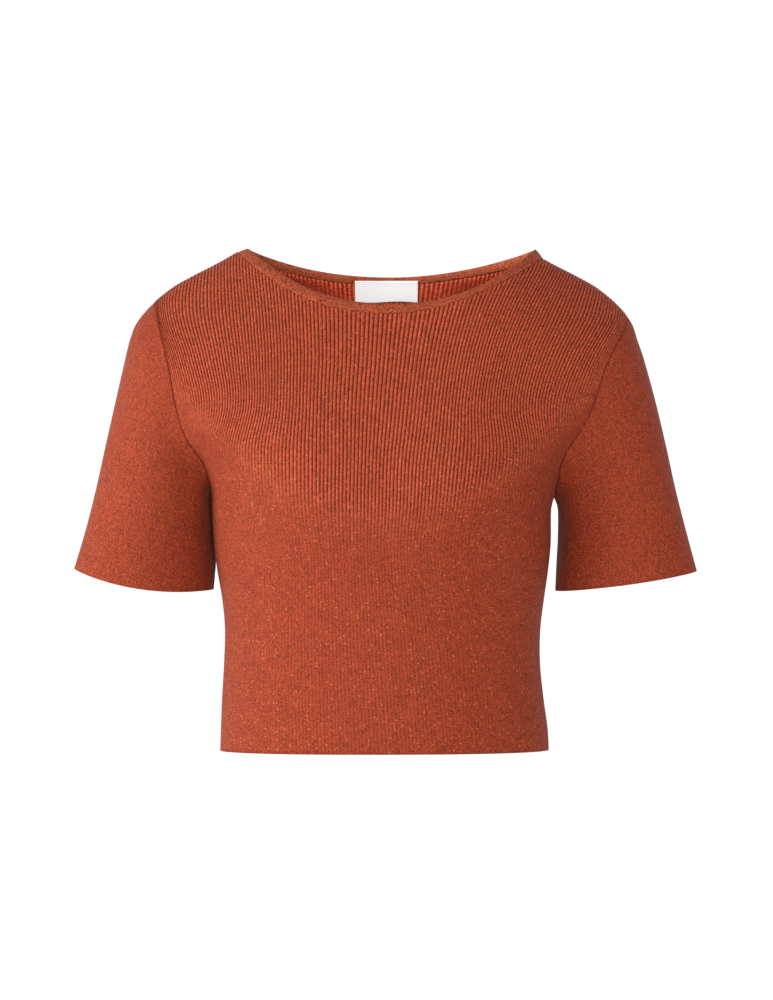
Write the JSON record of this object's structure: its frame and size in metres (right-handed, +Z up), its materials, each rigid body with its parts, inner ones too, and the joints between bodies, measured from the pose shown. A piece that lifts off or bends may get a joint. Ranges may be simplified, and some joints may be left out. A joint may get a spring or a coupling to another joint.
{
  "type": "crop top",
  "caption": "Short-sleeved cropped top in rib knit with a wide scoop neck, filled out as worn, hollow and open at neck, hem and cuffs.",
  "frame": {"origin": "midway between the two high points of the neck, at their height, on the plane of the side seams, where the wearer's shoulders carry the top", "axes": "+Z up, towards the neck; +X towards the wearer's left sleeve; +Y towards the wearer's back, so the front faces -Y"},
  "size_m": [0.5175, 0.2123, 0.4178],
  "materials": {
    "knit": "fine rib knit, matt with a faint sheen",
    "band_knit": "plain fine knit, matt",
    "label_weave": "smooth woven tape, slight satin sheen"
  },
  "bodies": {
    "root": {"front": "knit", "back": "knit", "sleeve_right": "knit", "sleeve_left": "knit", "neckband": "band_knit", "label": "label_weave"}
  },
  "joints": []
}
